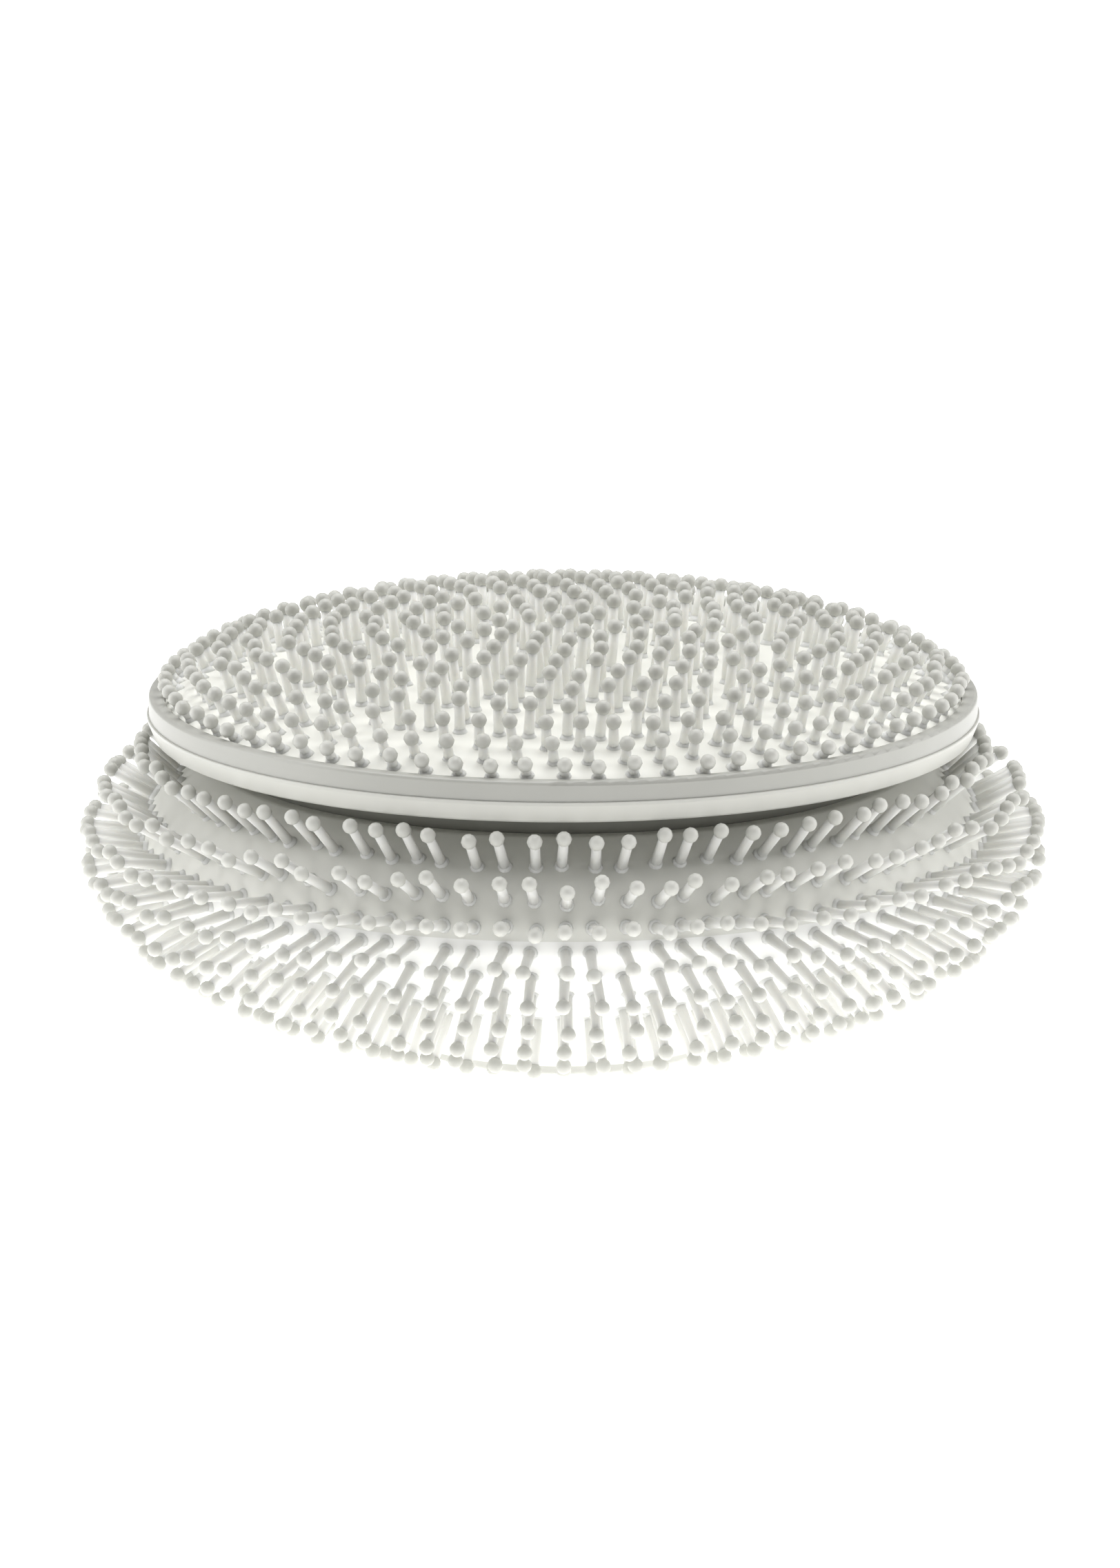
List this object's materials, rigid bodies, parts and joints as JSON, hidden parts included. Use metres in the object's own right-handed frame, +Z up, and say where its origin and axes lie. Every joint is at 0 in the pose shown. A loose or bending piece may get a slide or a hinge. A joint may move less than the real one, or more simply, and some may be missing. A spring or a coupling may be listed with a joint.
{
  "type": "flower frog",
  "caption": "Two-tier flower frog: a weighted pin-studded drum with a pin-studded top disc that turns and lifts off, to hold cut stems upright in water.",
  "frame": {"origin": "centre of the foot on the surface the object stands on", "axes": "+Z up, along the axis that the top disc turns and lifts on; +X and +Y are alike"},
  "size_m": [0.15, 0.15, 0.0684],
  "materials": {
    "shell_ivory": "moulded ivory plastic, satin",
    "tray_ivory": "moulded ivory plastic, smooth satin lip",
    "band_ivory": "moulded ivory plastic, smooth",
    "dome_ivory": "moulded ivory plastic, satin",
    "pin_ivory": "ivory shafts with grey ball heads",
    "collar_plastic": "moulded grey plastic",
    "bush_plastic": "slippery acetal",
    "foot_rubber": "soft pale non-slip rubber",
    "ballast_iron": "coated cast weight",
    "steel": "stainless steel"
  },
  "bodies": {
    "drum": {"foot_pad": "foot_rubber", "lower_shell": "shell_ivory", "upper_shell": "shell_ivory", "joint_gasket": "foot_rubber", "base_cover": "shell_ivory", "ballast_weight": "ballast_iron", "centre_bolt": "steel", "neck_collar": "collar_plastic", "lower_pins_row_1": "pin_ivory", "lower_pins_row_2": "pin_ivory", "lower_pins_row_3": "pin_ivory", "lower_pins_row_4": "pin_ivory", "lower_pins_row_5": "pin_ivory", "lower_pins_row_6": "pin_ivory", "lower_pins_row_7": "pin_ivory", "lower_pins_row_8": "pin_ivory", "lower_pins_row_9": "pin_ivory"},
    "bush": {"glide_bush": "bush_plastic"},
    "top_disc": {"top_tray": "tray_ivory", "rim_band": "band_ivory", "pin_dome": "dome_ivory", "dome_screws": "steel", "top_pins_ring_0": "pin_ivory", "top_pins_ring_1": "pin_ivory", "top_pins_ring_2": "pin_ivory", "top_pins_ring_3": "pin_ivory", "top_pins_ring_4": "pin_ivory", "top_pins_ring_5": "pin_ivory", "top_pins_ring_6": "pin_ivory", "top_pins_ring_7": "pin_ivory", "top_pins_ring_8": "pin_ivory", "top_pins_ring_9": "pin_ivory", "top_pins_ring_10": "pin_ivory", "top_pins_ring_11": "pin_ivory"}
  },
  "joints": [
    {"name": "disc_turn", "type": "hinge", "parent": "drum", "child": "bush", "pos_m": [0, 0, 0.0475], "axis": [0, 0, 1], "continuous": true},
    {"name": "disc_lift", "type": "slide", "parent": "bush", "child": "top_disc", "axis": [0, 0, 1], "range_m": [0, 0.06]}
  ]
}
